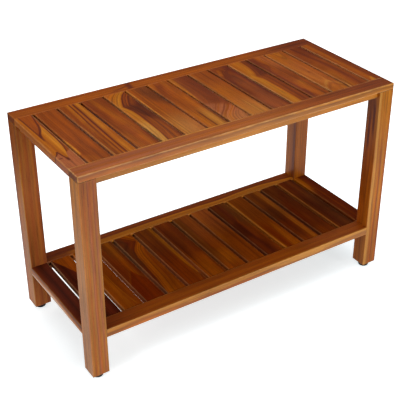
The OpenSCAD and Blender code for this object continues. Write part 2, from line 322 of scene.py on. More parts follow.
def make_figure_patch():
    """Mask of a patch of figure between its left and right sides, its front and back ends, and its
    depths in the board."""
    _, given, leave = start_group(
        "Figure patch", {"Mask": float}, Grain=NOWHERE, Left=-1.0, Right=1.0, Front=-1.0, Back=1.0,
        Low=-1.0, High=1.0, Soft=0.001, Fade=0.01,
    )
    masks = []
    sides = (("Left", "Right", given["Soft"]), ("Front", "Back", given["Fade"]), ("Low", "High", MM))
    for value, (low, high, soft) in zip(split(given["Grain"]), sides):
        rise = calc("DIVIDE", calc("SUBTRACT", value, given[low]), soft)
        fall = calc("DIVIDE", calc("SUBTRACT", given[high], value), soft)
        masks.append(times(ease(rise, -0.5, 0.5), ease(fall, -0.5, 0.5)))
    feed(leave, {"Mask": times(*masks)})


def make_teak_figure():
    """Colour of teak: growth lines, dark streaks and cloudy mottling over a board's own tones."""
    tree, given, leave = start_group(
        "Teak figure", {"Color": tuple, "Late wood": float}, Base=(0.3, 0.08, 0.01, 1.0),
        Streak=(0.1, 0.02, 0.01, 1.0), Line=(0.08, 0.02, 0.01, 1.0), Rings=0.0, Grain=NOWHERE,
        Pitch=0.0024, Lines=0.5, Streaking=0.4, Mottle=0.4, Threads=0.5, Seed=0.0,
    )
    seed = given["Seed"]
    grain = given["Grain"]
    # Broad dark streaks that follow the rings
    slow = line_noise(times(given["Rings"], 130.0), seed, 3.0, 0.6)
    pick = swing(noise(stretch(grain, 60.0, 5.0), seed), 0.35, slow)
    colour = tint(times(ease(pick, 0.52, 0.74), given["Streaking"]), given["Base"], given["Streak"])
    # Clouds of lighter and darker wood
    cloud = noise(stretch(grain, 48.0, 9.0), calc("ADD", seed, 11.0), 3.0)
    cloud = times(calc("SUBTRACT", cloud, 0.5), given["Mottle"])
    colour = shade(colour, calc("MULTIPLY_ADD", cloud, 2.2, 1.0))
    # One line at the end of each year's growth, each with its own width and depth
    years = calc("DIVIDE", given["Rings"], given["Pitch"])
    years = calc("MULTIPLY_ADD", line_noise(times(years, 0.37), seed, 2.0), 3.0, years)
    year = calc("ADD", calc("FLOOR", years), seed)
    part = calc("FRACT", years)
    own = add(tree, "TexWhiteNoise", {"W": year}, noise_dimensions="1D").outputs[0]
    late = times(ease(part, 0.35, 0.9), ease(part, 0.92, 1.0, 1.0, 0.0))
    late = times(late, calc("MULTIPLY_ADD", own, 0.9, 0.1))
    colour = tint(times(late, given["Lines"]), colour, given["Line"])
    # Fine threads along the grain, both darker and lighter than the wood round them
    thread = noise(stretch(grain, 210.0, 7.0), calc("ADD", seed, 21.0), 4.0, 0.66)
    dark = times(ease(thread, 0.50, 0.70), given["Threads"])
    pale = times(ease(thread, 0.48, 0.32), given["Threads"])
    colour = tint(dark, colour, tint(0.35, given["Line"], given["Base"]))
    colour = tint(times(pale, 0.45), colour, PALE_THREAD, "MULTIPLY")
    feed(leave, {"Color": colour, "Late wood": late})


def make_oiled_surface():
    """Open grain, end grain and rubbed edges of an oiled board, for its colour, roughness and bump."""
    outputs = {"Color": tuple, "Roughness": float, "Height": float}
    _, given, leave = start_group(
        "Oiled surface", outputs, Color=(0.3, 0.08, 0.01, 1.0), Place=NOWHERE, Grain=NOWHERE,
        Late_wood=0.0, End_grain=0.0, Dry=0.0, Worn=0.0, Gloss=0.36, Seed=0.0,
    )
    seed = given["Seed"]
    late = given["Late wood"]
    fibre = noise(stretch(given["Grain"], 1500.0, 34.0), seed, 2.0, 0.6)
    pores = noise(stretch(given["Grain"], 2300.0, 150.0), calc("ADD", seed, 3.0), 1.0)
    pore = ease(calc("SUBTRACT", pores, calc("MULTIPLY_ADD", late, 0.06, 0.60)), 0.0, 0.09)
    smear = noise(stretch(given["Place"], 14.0, 8.0), calc("ADD", seed, 7.0), 3.0)
    # Fibres lighten and darken the wood a little, and the open pores hold dark oil
    colour = shade(given["Color"], times(swing(fibre, 0.5, 1.0), ease(pore, 0.0, 1.0, 1.0, 0.62)))
    colour = tint(given["End grain"], colour, tint(1.0, colour, END_GRAIN, "MULTIPLY"))
    # The sides of a board inside a gap are made rougher and painted paler, which is painted light in the
    # shaded gap, and its edges are paler partly from rubbing and partly from a painted highlight
    dried = tint(0.5, tint(1.0, colour, (2.0, 2.0, 2.0, 1.0), "MULTIPLY"), PAINTED_GAP_LIGHT)
    colour = tint(given["Dry"], colour, dried)
    colour = tint(given["Worn"], colour, tint(0.45, colour, RUBBED_AND_HIGHLIT))
    rough = swing(smear, 0.22, swing(fibre, 0.16, given["Gloss"]))
    rough = calc("MULTIPLY_ADD", pore, 0.22, rough)
    rough = calc("MULTIPLY_ADD", given["Dry"], 0.30, rough)
    rough = calc("MULTIPLY_ADD", given["End grain"], 0.20, rough, clamp=True)
    height = calc("MULTIPLY_ADD", fibre, 0.35, times(pore, -0.8))
    height = calc("MULTIPLY_ADD", late, 0.25, height)
    feed(leave, {"Color": colour, "Roughness": rough, "Height": height})


def make_cast_speckle():
    """Fine even speckle of moulded or plated surfaces, for roughness and bump."""
    outputs = {"Roughness": float, "Height": float, "Mask": float}
    tree, given, leave = start_group(
        "Fine speckle", outputs, Coarse=400.0, Fine=2600.0, Rough=0.4, Swing=0.15
    )
    place = add(tree, "TexCoord").outputs["Object"]
    broad = noise(move("SCALE", place, given["Coarse"]), 1.0, 3.0)
    fine = noise(move("SCALE", place, given["Fine"]), 2.0)
    both = calc("MULTIPLY_ADD", fine, 0.4, times(broad, 0.6))
    rough = swing(both, given["Swing"], given["Rough"])
    feed(leave, {"Roughness": rough, "Height": fine, "Mask": ease(broad, 0.35, 0.7)})


# ---- A board's own material ----

# What a board's wood is like where its recipe doesn't say, with lengths in millimetres. shine is the
# strength of its sheen, and a board whose shine is nought has no film of oil.
WOOD = dict(pith=(-160, 0, -30), lean=(0, 0, 0), waver=1.0, run=6.0, pitch=4.2, lines=0.45, sharp=False)
WOOD.update(streak="plum", streaking=0.35, mottle=0.35, threads=0.5, dry=0.0, worn=0.2, shine=0.32)
# A patch reaches past its board where its recipe doesn't say. soft is how softly its sides fade, and
# then its ends. A line or a cross is the middle of a stripe along or across the board, and wide is
# the stripe's width.
PATCH = dict(sides=(-99.0, 99.0), ends=(-999.0, 999.0), deep=(-99, 99), soft=(2.0, 12.0), wide=0.0)
# How far the points of a line can lie off its board's middle, how far those of a cross can, and half
# the width that a cross is drawn over
SWAY = 60.0
RUN = 200.0
HALF_WIDTH = 25.0


def read_setting(words):
    """What a setting says: a number, a/b numbers, a line of a/b points, a tone, or just yes."""
    if not words:
        return True
    if words[0].isalpha():
        return words[0]
    points = [tuple(float(part) for part in word.split("/")) for word in words]
    if len(points) > 1:
        return points
    return points[0] if len(points[0]) > 1 else points[0][0]


def read_board(text):
    """Reads a board's recipe, one line for each thing and a comma before each line that goes on."""
    board = {"patches": []}
    for line in text.replace(",\n", ",").strip().splitlines():
        head, rest = line.strip().split(": ")
        parts = [part.split() for part in rest.split(",")]
        if head == "tones":
            board["tones"] = [(float(at), name) for at, name in parts]
            continue
        said = {key: read_setting(words) for key, *words in parts}
        if head == "wood":
            board.update(said)
        else:
            tone, *cover = head.split()
            said.update(tone=tone, cover=float(*cover) if cover else 1.0)
            board["patches"].append({**PATCH, **said})
    return board


def rgba(name):
    """A named wood tone from the panel, as a colour with full cover."""
    return (*getattr(bpy.context.scene.bench_tones, name), 1.0)


def tone_ramp(rings, tones):
    """Tones across the growth of a board, at distances in millimetres."""
    low = tones[0][0]
    high = tones[-1][0]
    inputs = {"Value": rings, "From Min": low * MM, "From Max": high * MM}
    place = add(rings.id_data, "MapRange", inputs).outputs[0]
    ramp = add(rings.id_data, "ValToRGB", {0: place})
    points = ramp.color_ramp.elements
    while len(points) < len(tones):
        points.new(0.5)
    for point, (at, name) in zip(points, tones):
        point.position = (at - low) / (high - low)
        point.color = rgba(name)
    return ramp.outputs[0]


def follow(value, points, half, reach, sharp):
    """A value read off a line of points (at, value) in millimetres, where at runs from -half to half."""
    inputs = {"Value": value, "From Min": -half * MM, "From Max": half * MM}
    at = add(value.id_data, "MapRange", inputs).outputs[0]
    curve = add(value.id_data, "FloatCurve", {"Value": at})
    knots = curve.mapping.curves[0].points
    while len(knots) < len(points):
        knots.new(0.5, 0.5)
    for knot, (place, reads) in zip(knots, sorted(points)):
        knot.location = ((place + half) / (2 * half), 0.5 + reads / (2 * reach))
        knot.handle_type = "VECTOR" if sharp else "AUTO"
    curve.mapping.update()
    inputs = {"Value": curve.outputs[0], "To Min": -reach * MM, "To Max": reach * MM}
    return add(value.id_data, "MapRange", inputs, clamp=False).outputs[0]


def lay_patches(colour, grain, half, patches):
    """Lays a board's patches and stripes over its tones. The limits of one lie across the board at
    left and right, and along it at front and back, and each may be a line of points."""
    across, along, _ = split(grain)

    def limit(value, place, half, reach, nudge, sharp):
        if isinstance(place, float):
            return (place + nudge) * MM
        return calc("ADD", follow(value, place, half, reach, sharp), nudge * MM)

    for patch in patches:
        half_wide = patch["wide"] / 2
        soft = patch["soft"]
        soft, fade = soft if isinstance(soft, tuple) else (soft, PATCH["soft"][1])
        limits = dict(zip(("Low", "High"), (part * MM for part in patch["deep"])))
        for labels, pair, stripe, on in (
            (("Left", "Right"), "sides", "line", (along, half, SWAY)),
            (("Front", "Back"), "ends", "cross", (across, HALF_WIDTH, max(half, RUN))),
        ):
            for label, place, way in zip(labels, patch[pair], (-1, 1)):
                place = patch.get(stripe, patch.get(label.lower(), place))
                nudge = way * half_wide if stripe in patch else 0.0
                limits[label] = limit(on[0], place, on[1], on[2], nudge, "sharp" in patch)
        softness = {"Soft": soft * MM, "Fade": fade * MM}
        mask = use(grain.id_data, "Figure patch", Grain=grain, **limits, **softness)["Mask"]
        colour = tint(times(mask, patch["cover"]), colour, rgba(patch["tone"]))
    return colour


def start_material(name):
    """A new material with its tree and its shader."""
    material = bpy.data.materials.new(name)
    material.use_nodes = True
    return material, material.node_tree, material.node_tree.nodes["Principled BSDF"]


def cover(node, material):
    """Gives a piece one material in the place of all it had."""
    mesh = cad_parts[node].data
    mesh.materials.clear()
    mesh.materials.append(material)


def lay_finish(shader, face, strength, relief, inputs):
    """Gives a shader the roughness and the relief of a shared effect, and its other inputs."""
    bump = {"Height": face["Height"], "Strength": strength, "Distance": relief}
    normal = add(shader.id_data, "Bump", bump).outputs[0]
    feed(shader, {"Roughness": face["Roughness"], "Normal": normal, **inputs})


def teak(node, seed, recipe, **group):
    """Gives a board its own teak, from its recipe and what its group shares."""
    wood = {**WOOD, **group, **read_board(recipe)}
    low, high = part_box(node)
    reach = (high - low) / 2
    turn, axes = LIES[max(range(3), key=lambda axis: reach[axis])]
    half = [reach[axis] for axis in axes]
    surface = bpy.context.scene.bench_surface
    material, tree, shader = start_material("teak_" + node)
    board = use(tree, "Board place", Middle=(low + high) / 2, Turn=turn, Half=half, Wear=surface.worn_and_lit_band)
    growth = {
        "Place": board["Place"],
        "Pith": [part * MM for part in wood["pith"]],
        "Lean": wood["lean"],
        "Waver": wood["waver"] * MM,
        "Run": wood["run"],
        "Seed": seed,
    }
    bend = 0.0
    if "bend" in wood:
        along = split(board["Place"])[1]
        bend = times(follow(along, wood["bend"], half[1] / MM, SWAY, wood["sharp"]), -1.0)
    rings, grain = use(tree, "Growth", Bend=bend, **growth)
    colour = tone_ramp(rings, wood["tones"])
    if wood["patches"]:
        straight = use(tree, "Growth", **growth)["Grain"]
        colour = lay_patches(colour, straight, half[1] / MM, wood["patches"])
    figure = use(
        tree, "Teak figure", Base=colour, Streak=rgba(wood["streak"]), Line=rgba("umber"), Rings=rings,
        Grain=grain, Pitch=wood["pitch"] * MM, Lines=wood["lines"], Streaking=wood["streaking"],
        Mottle=wood["mottle"], Threads=wood["threads"], Seed=seed,
    )
    # The paler sides are painted light inside the gaps, with a rougher face, and the paler edges are partly
    # real wear and partly a painted highlight
    dry = times(board["Side"], wood["dry"])
    worn = times(board["Edge"], wood["worn"])
    face = use(
        tree, "Oiled surface", Color=figure["Color"], Place=board["Place"], Grain=grain,
        Late_wood=figure["Late wood"], End_grain=board["End grain"], Dry=dry, Worn=worn,
        Gloss=surface.gloss, Seed=seed,
    )
    lay_finish(shader, face, 0.6, surface.relief, {
        "Base Color": face["Color"],
        "IOR": 1.46,
        "Specular IOR Level": wood["shine"],
        "Coat Weight": surface.coat if wood["shine"] else 0.0,
        "Coat Roughness": 0.25,
    })
    cover(node, material)


def speckled(name, low, high, rough, swings, relief, metallic=0.0, coarse=400.0, shine=0.5):
    """A moulded or plated finish between two colours."""
    material, tree, shader = start_material(name)
    grit = use(tree, "Fine speckle", Coarse=coarse, Rough=rough, Swing=swings)
    colour = tint(grit["Mask"], (*low, 1.0), (*high, 1.0))
    plain = {"Base Color": colour, "Metallic": metallic, "Specular IOR Level": shine}
    lay_finish(shader, grit, 0.5, relief, plain)
    return material


# ---- Board recipes ----
# Places are in millimetres from the board's middle. tones lie at distances across the growth, wood
# says how the board differs from WOOD, and each line after that is a patch: its tone, how much of
# the wood it covers, and how it differs from PATCH. The points of a bend, a line, a left or a right
# are written as along/across, and those of a cross, a front or a back as across/along.

SEAT_SLATS = {
    1: """
    tones: -24 russet, -12 chestnut, -4 russet, 4 chestnut, 14 russet, 24 chestnut
    wood: dry 0.3, mottle 0.35, streaking 0.15, threads 0.7
    straw 0.8: right -84/-20 -40/-19.6 -8/-22.4, ends -80/-8, soft 1.2
    amber 0.5: left -24, right -115/2 -95/-6 -86/-15, ends -130/-88, soft 6
    """,
    2: """
    tones: -34 chestnut, -26 russet, -21 chestnut, -18 amber, -12.5 honey, -11 russet, -10.4 plum,
      -9.4 plum, -8.4 russet, -6.5 honey, -4 russet, -2.4 plum, -0.4 plum, 0.5 honey, 6 straw, 13 honey
    wood: dry 0.6, streaking 0.2, mottle 0.25, threads 0.8, bend -115/5.8 -60/6.4 0/8 60/9.6 110/11.4
    chestnut 0.35: sides -24/-3, ends -130/-12, soft 2/30
    plum 0.35: line -115/-14 -20/-13, wide 2.4, ends -130/-15, soft 1.5/20
    amber 0.7: line -115/-9 -20/-8, wide 2.4, ends -130/-15, soft 1.5/20
    sapwood 0.45: line -115/-19.8 10/-20.2, wide 2.2, ends -130/12, soft 1.5/30
    amber 0.4: left -115/6 0/9.5 110/12.5
    walnut 0.5: line -115/3 -40/6 20/8 110/9.5, wide 2.4, soft 1.8
    chestnut 0.45: sides -24/-4, ends -70/30, soft 4/24
    russet 0.5: left 8, ends -70/-16, soft 4/24
    """,
    3: """
    tones: -28 russet, -18 chestnut, -6 russet, 4 amber, 10 russet, 22 chestnut, 30 walnut
    wood: mottle 0.55, streaking 0.25, threads 0.7, bend -115/6 0/2 115/-8
    amber 0.55: line -20/12 30/4 90/-10, wide 11, ends -30/100, soft 8/40
    plum 0.55: left 17, ends -130/-50, soft 3/30
    walnut 0.7: sides -30/-8, ends 10/140, soft 8/40
    honey 0.3: sides -30/-8, ends -130/-50, soft 8/40
    walnut 0.45: sides -8/8, ends -70/-16, soft 6/24
    """,
    4: """
    tones: -32 amber, -16 honey, -6 straw, -1 honey, 0 russet, 1.2 plum, 2.6 plum, 4.5 russet, 7.5 chestnut,
      9 plum, 11 russet, 15 plum, 20 chestnut, 34 plum
    wood: dry 0.5, sharp, waver 0.5, streaking 0.35, threads 0.7,
      bend -115/-11.5 -80/-7.5 -46/-6 0/-4.8 24/-6 40/-9.6 50/-13.2 67/-7.2 88/2.4 103/12 114/22
    umber 0.6: left -24/10 0/3 24/-3 40/-8 52/-12, ends -40/50, soft 4/22
    amber 0.5: left -115/-9 -40/-4, ends -130/-22, soft 3/30
    plum 0.5: left -115/16 -30/14, ends -130/-10, soft 4
    plum 0.6: line -115/6 -60/9 -20/10, wide 2.5, ends -130/-16, soft 1.8
    sapwood 0.95: right -115/-13 -80/-10 -40/-9, ends -130/-30, soft 5/50
    """,
    5: """
    tones: -24 honey, -19.6 honey, -17.6 russet, -8 amber, 4 russet, 14 amber, 24 russet
    wood: dry 0.55, mottle 0.4, streaking 0.15, streak walnut, threads 0.7
    chestnut 0.5: left -17, ends 30/130, soft 4/90
    walnut 0.75: left 5/15 35/6 70/-4 115/-7, ends 10/130, soft 18/80
    oil 0.3: left 5/15 35/6 70/-4 115/-7, ends 20/130, soft 18/80
    sapwood 0.65: left -20, ends -140/-50, soft 6/100
    rose 0.35: left -12, ends -140/-60, soft 12/80
    chestnut 0.4: left 9, ends -140/30, soft 6/60
    """,
    # The umber along slat 6's right side is painted shade from the gap beside it
    6: """
    tones: -24 amber, -14 amber, -6 russet, 4 russet, 12 amber, 24 russet
    wood: dry 0.3, mottle 0.4, streaking 0.2, threads 0.7
    walnut 0.9: line 20/-20 40/-19 70/-14 90/-9 108/-5, wide 14, ends 10/106, soft 8/30
    chestnut 0.6: line 30/9 75/11, wide 7, ends 28/84, soft 5/24
    amber 0.5: sides -24/16, ends -140/30, soft 8/90
    honey 0.7: sides -18/18, ends -140/-50, soft 5/60
    sapwood 0.45: sides -1/17, ends -140/-46, soft 7/60
    plum 0.8: line -115/-2.8 -40/-2.2, wide 3.4, ends -130/-46, soft 2/25
    umber 0.4: left 17, ends -120/-20, soft 2/30
    chestnut 0.5: right -4, ends -20/100, soft 6/30
    """,
    7: """
    tones: -40 rose, 4 rose, 6.5 chestnut, 9 rose, 13 amber, 16 rose, 23 rose, 26 walnut, 28.5 rose,
      33 amber, 36 chestnut, 39 rose, 46 amber, 50 rose, 53 chestnut, 55.5 rose, 90 rose
    wood: dry 0.25, pitch 4.5, lines 0.5, mottle 0.45, streaking 0.2, streak chestnut, threads 0.6,
      bend -115/-60 -100/-57 -84/-47 -62/-27 -50/-19 -40/-12 -28/-6 -10/0 115/0
    chestnut 0.85: front -22/-28 0/-36 10/-46 22/-60, soft 2/20
    walnut 0.75: left -7, front -22/-22 10/-36 22/-50, soft 12/30
    plum 0.35: left 6, ends 10/140, soft 9/60
    honey 0.85: right -20/-24 -10/-22.6 20/-19.5 50/-17 115/-15, front -18, soft 1.2
    sapwood 0.2: ends -140/-86, soft 2/40
    """,
    8: """
    tones: -24 russet, -16 amber, -9 russet, -3 amber, 4 russet, 10 amber, 17 russet, 24 chestnut
    wood: dry 0.5, mottle 0.35, streaking 0.15, streak chestnut, threads 0.8
    honey 0.5: sides -30/20, ends -140/30, soft 10/110
    chestnut 0.6: left -12, ends 50/140, soft 14/60
    chestnut 0.45: left 8, ends -30/80, soft 8/40
    rose 0.4: sides -18/20, ends -140/-40, soft 14/90
    sapwood 0.35: ends -140/-70, soft 2/90
    sapwood 0.35: line -115/3 -60/1, wide 5, ends -130/-50, soft 3/30
    """,
    9: """
    tones: -30 russet, -22 chestnut, -14 walnut, -6 chestnut, 2 walnut, 8 chestnut, 14 walnut, 20 plum,
      28 walnut
    wood: dry 0.1, mottle 0.5, streaking 0.3, threads 0.8, bend -115/4 0/0 60/0 115/-6
    plum 0.6: line 30/-16 50/-12 70/-6 85/2 95/12 110/26, wide 12, ends 22/112, soft 6/40
    rose 0.2: sides -8/14, ends -60/60, soft 10/60
    amber 0.75: line 70/-18 88/-13 106/-7, wide 8, ends 72/102, soft 5/16
    umber 0.6: line 54/-19 72/-12 88/-5 98/4, wide 1.6, ends 50/98, soft 1.5/16
    russet 0.4: sides -2/13, ends -20/46, soft 7/30
    rose 0.3: sides -30/16, ends -140/-50, soft 9/60
    plum 0.4: left 18.5, soft 3
    umber 0.35: sides -8/8, ends 20/70, soft 6/24
    """,
    10: """
    tones: -36 amber, -22 honey, -8 straw, -2.5 honey, -0.6 amber, 0.4 chestnut, 1.4 walnut, 5 russet,
      8 chestnut, 12 walnut, 17 chestnut, 30 walnut
    wood: dry 1, sharp, waver 0.5, streaking 0.3, threads 0.7,
      bend -115/0.3 -50/0.8 0/0.9 14/0.4 22/-1 31/-4.3 39/-1.4 50/1.9 66/5.4 81/8.1 115/9.6
    umber 0.4: left 22/-1 31/-4.3 39/-1.4 50/1.9 66/5.4 81/8.1 115/9.6, front 30, soft 1.5/16, sharp
    plum 0.5: left 22/4 50/8 81/14, front 34, soft 5/30
    chestnut 0.45: left 10/-6 45/-14, right -3, ends 12/48, soft 6/20
    amber 0.5: right 50/1 66/4 81/7 115/8, ends 55/140, soft 3/40
    """,
    11: """
    tones: -24 chestnut, -16 walnut, -8 chestnut, 0 russet, 8 chestnut, 16 russet, 24 chestnut
    wood: dry 0.15, mottle 0.7, streaking 0.45, waver 1.8, run 14, threads 0.8
    plum 0.35: left -30, right 20/-10 60/-5 115/-6, ends 60/140, soft 7/40
    plum 0.45: line 40/-16 66/-6 90/-12 115/-8, wide 6, ends 36/120, soft 5/20
    amber 0.8: left -1, ends 52/140, soft 7/50
    rose 0.4: left 4, ends 40/140, soft 7/50
    honey 0.45: line -54/4 -34/4, wide 9, ends -54/-32, soft 6/10
    honey 0.3: left -110/-4 -80/-12 -34/-10, right 11, back -30, soft 7/18
    russet 0.35: sides -8/22, back -78, soft 6/20
    plum 0.85: line -108/-16 -74/-14, wide 5.5, ends -106/-72, soft 3/14
    """,
    12: """
    tones: -4 amber, 2 honey, 6 amber, 11 honey, 14 amber, 20 honey, 24 russet, 28 amber
    wood: dry 0.9, pith 1/0/-14, lean 0.03/0/0.06, pitch 3.6, lines 0.4, mottle 0.35, streaking 0.15,
      streak chestnut, waver 1.6, threads 0.7
    walnut 0.5: cross -22/132 -5/112 4/84 12/110 22/134, wide 5, soft 2/5, sharp
    chestnut 0.35: cross -22/116 -8/92 4/60 14/92 22/112, wide 4, soft 2/5, sharp
    rose 0.35: sides -18/20, ends -90/60, soft 20/70
    sapwood 0.4: cross -22/-98 -12/-81 4/-66 10/-75 20/-94, wide 9, soft 2/7, sharp
    walnut 0.4: cross -22/-112 -12/-95 4/-80 10/-90 20/-109, wide 9, soft 2/8, sharp
    walnut 0.7: sides -1.5/3, ends -14/-7, soft 3/4
    russet 0.65: left 9, ends -80/140, soft 6/50
    """,
    13: """
    tones: -40 chestnut, -26 russet, -16 chestnut, -6 russet, -1 chestnut, 2 walnut, 6 walnut, 10 chestnut,
      19 chestnut, 24 walnut
    wood: dry 0.6, mottle 0.4, streaking 0.25, threads 0.8, bend -115/2 -58/4 0/2 60/-3.5 115/-8
    plum 0.5: left 0/6 60/-1 115/-6, right 22, ends 40/140, soft 4/70
    amber 0.4: left -30, right -115/0 0/2 60/-4, ends -60/60, soft 8/60
    sapwood 0.6: line -115/-22 -80/-18, wide 2.4, ends -115/-82
    honey 0.45: right -8, ends -140/-30, soft 7/40
    walnut 0.45: sides -12/9, ends -20/90, soft 7/40
    walnut 0.5: right -8, ends 20/80, soft 6/24
    """,
}

# The old oil patches towards the backs of the shelf's slats are painted shade from the seat above
SHELF_SLATS = {
    1: """
    tones: -22 plum, -8 umber, 6 plum, 22 umber
    wood: mottle 0.5
    russet 0.9: left 0/30 40/14 53/6 80/-4 112/-17, front 30, soft 2/24
    """,
    2: """
    tones: -26 amber, -12 russet, -2 amber, 6 russet, 12 chestnut, 22 russet
    wood: streaking 0.2
    chestnut 0.6: left -115/10 -60/4 -10/0, ends -140/0, soft 3/60
    honey 0.5: line -115/11 -60/4 10/1, wide 2.5, ends -110/10
    """,
    3: """
    tones: -24 chestnut, -12 walnut, 0 russet, 10 amber, 22 chestnut
    wood: streaking 0.3
    amber 0.4: cross -22/-50 -10/-28 3/2 9/-20 16/-40, wide 7, soft 2/6, sharp
    wine 0.75: back -22/-56 -10/-34 3/-6 9/-26 20/-50, soft 2/8, sharp
    wine 0.3: ends -140/50, soft 2/60
    plum 0.6: left 14, ends -40/140, soft 4/60
    oil 0.3: left -10, ends 50/150, soft 8/60
    """,
    4: """
    tones: -40 walnut, -20 plum, -8 walnut, -1.5 plum, 0.8 russet, 12 amber, 22 russet, 40 russet
    wood: sharp, waver 0.5, bend -115/-20 -60/-13.5 -20/-11.5 28/-9 52/-3.5 66/4 83/17 90/20 97/12 118/-2
    russet 0.85: line 85/22 97/12 117/-3, wide 9, ends 86/130
    walnut 0.8: line 88/24 100/19 117/12, wide 3, ends 92/120, soft 1.5
    amber 0.4: sides -18/16, ends -140/-70, soft 8/40
    oil 0.3: right -6, front -10, soft 8/40
    """,
    5: """
    tones: -22 chestnut, -10 walnut, -2 chestnut, 6 walnut, 11 chestnut, 22 russet
    russet 0.9: sides -18/14, ends -140/-20, soft 8/80
    honey 0.95: left -90/19 -30/12.5 20/12 118/12, front -88, soft 1.2/8
    walnut 0.8: left -115/14 -92/20, back -92
    wine 0.45: right 10, ends -140/70, soft 3/60
    oil 0.35: ends 0/150, soft 2/90
    """,
    6: """
    tones: -22 chestnut, -8 walnut, 4 chestnut, 12 walnut, 22 chestnut
    wood: mottle 0.5
    plum 0.45: ends 0/140, soft 2/120
    russet 0.95: sides -22/18, ends -140/-32, soft 8/40
    amber 0.6: sides -16/10, ends -140/-60, soft 8/50
    oil 0.12: ends 0/150, soft 2/60
    """,
    7: """
    tones: -22 chestnut, -10 russet, 0 chestnut, 10 russet, 22 chestnut
    honey 0.95: sides -10/17, ends -96/-44, soft 14/34
    russet 0.5: left -22, ends -140/-20, soft 8/60
    oil 0.35: right -6, ends -80/150, soft 8/60
    rose 0.2: left -10, ends 0/150, soft 8/80
    oil 0.2: ends 20/150, soft 2/80
    """,
    8: """
    tones: -22 russet, -13 amber, -6 russet, 2 russet, 10 chestnut, 22 russet
    walnut 0.5: right -8, ends -140/-20, soft 6/70
    rose 0.3: ends 20/150, soft 2/80
    oil 0.15: ends 0/150, soft 2/80
    """,
    9: """
    tones: -22 plum, -10 walnut, 0 plum, 10 walnut, 22 chestnut
    wood: streaking 0.45, mottle 0.6
    umber 0.6: sides -22/-2, ends -40/28, soft 10/26
    chestnut 0.5: left 0, ends -60/40, soft 10/50
    chestnut 0.6: line 20/0 60/12 80/18, wide 4, ends 20/80, soft 3
    oil 0.2: ends 30/150, soft 2/60
    oil 0.4: left 6, ends 0/150, soft 8/60
    """,
    10: """
    tones: -24 honey, -16.4 honey, -15 chestnut, -8 chestnut, 0 russet, 10 chestnut, 22 russet
    wine 0.6: sides -15/-1, ends -140/-20, soft 3/70
    amber 0.95: left -115/0 -60/4 0/8, right -115/19 0/14, ends -140/-20, soft 7/50
    oil 0.25: ends 10/150, soft 2/60
    """,
    11: """
    tones: -22 walnut, -12 chestnut, -4 walnut, 5 chestnut, 7 amber, 12 honey, 18.5 amber, 20 walnut,
      22 plum
    wood: streaking 0.2
    wine 0.45: right 5, ends -60/50, soft 4/60
    umber 0.35: right 7, ends -100/40, soft 4/40
    oil 0.36: front -20, soft 2/50
    rose 0.15: sides 7/19, soft 3
    """,
    12: """
    tones: -22 walnut, -8 chestnut, 4 walnut, 14 chestnut, 22 walnut
    wood: mottle 0.6
    wine 0.6: line -50/-16 0/-14 30/-8 70/6, wide 18, ends -70/80, soft 10/40
    chestnut 0.6: sides -10/12, front 80, soft 8/30
    oil 0.35: ends 20/150, soft 2/80
    umber 0.4: front -90, soft 2/40
    umber 0.35: left 4, soft 8
    """,
    13: """
    tones: -24 amber, -17 amber, -15.4 walnut, -4 plum, 8 walnut, 22 plum
    wood: streaking 0.3, mottle 0.5
    plum 0.5: left -14, ends -100/20, soft 3/60
    wine 0.4: sides -16/-1, front 60, soft 5/40
    oil 0.25: right 4, front 60, soft 5/40
    oil 0.2: ends -140/60, soft 2/40
    oil 0.25: left 0, soft 8
    """,
}

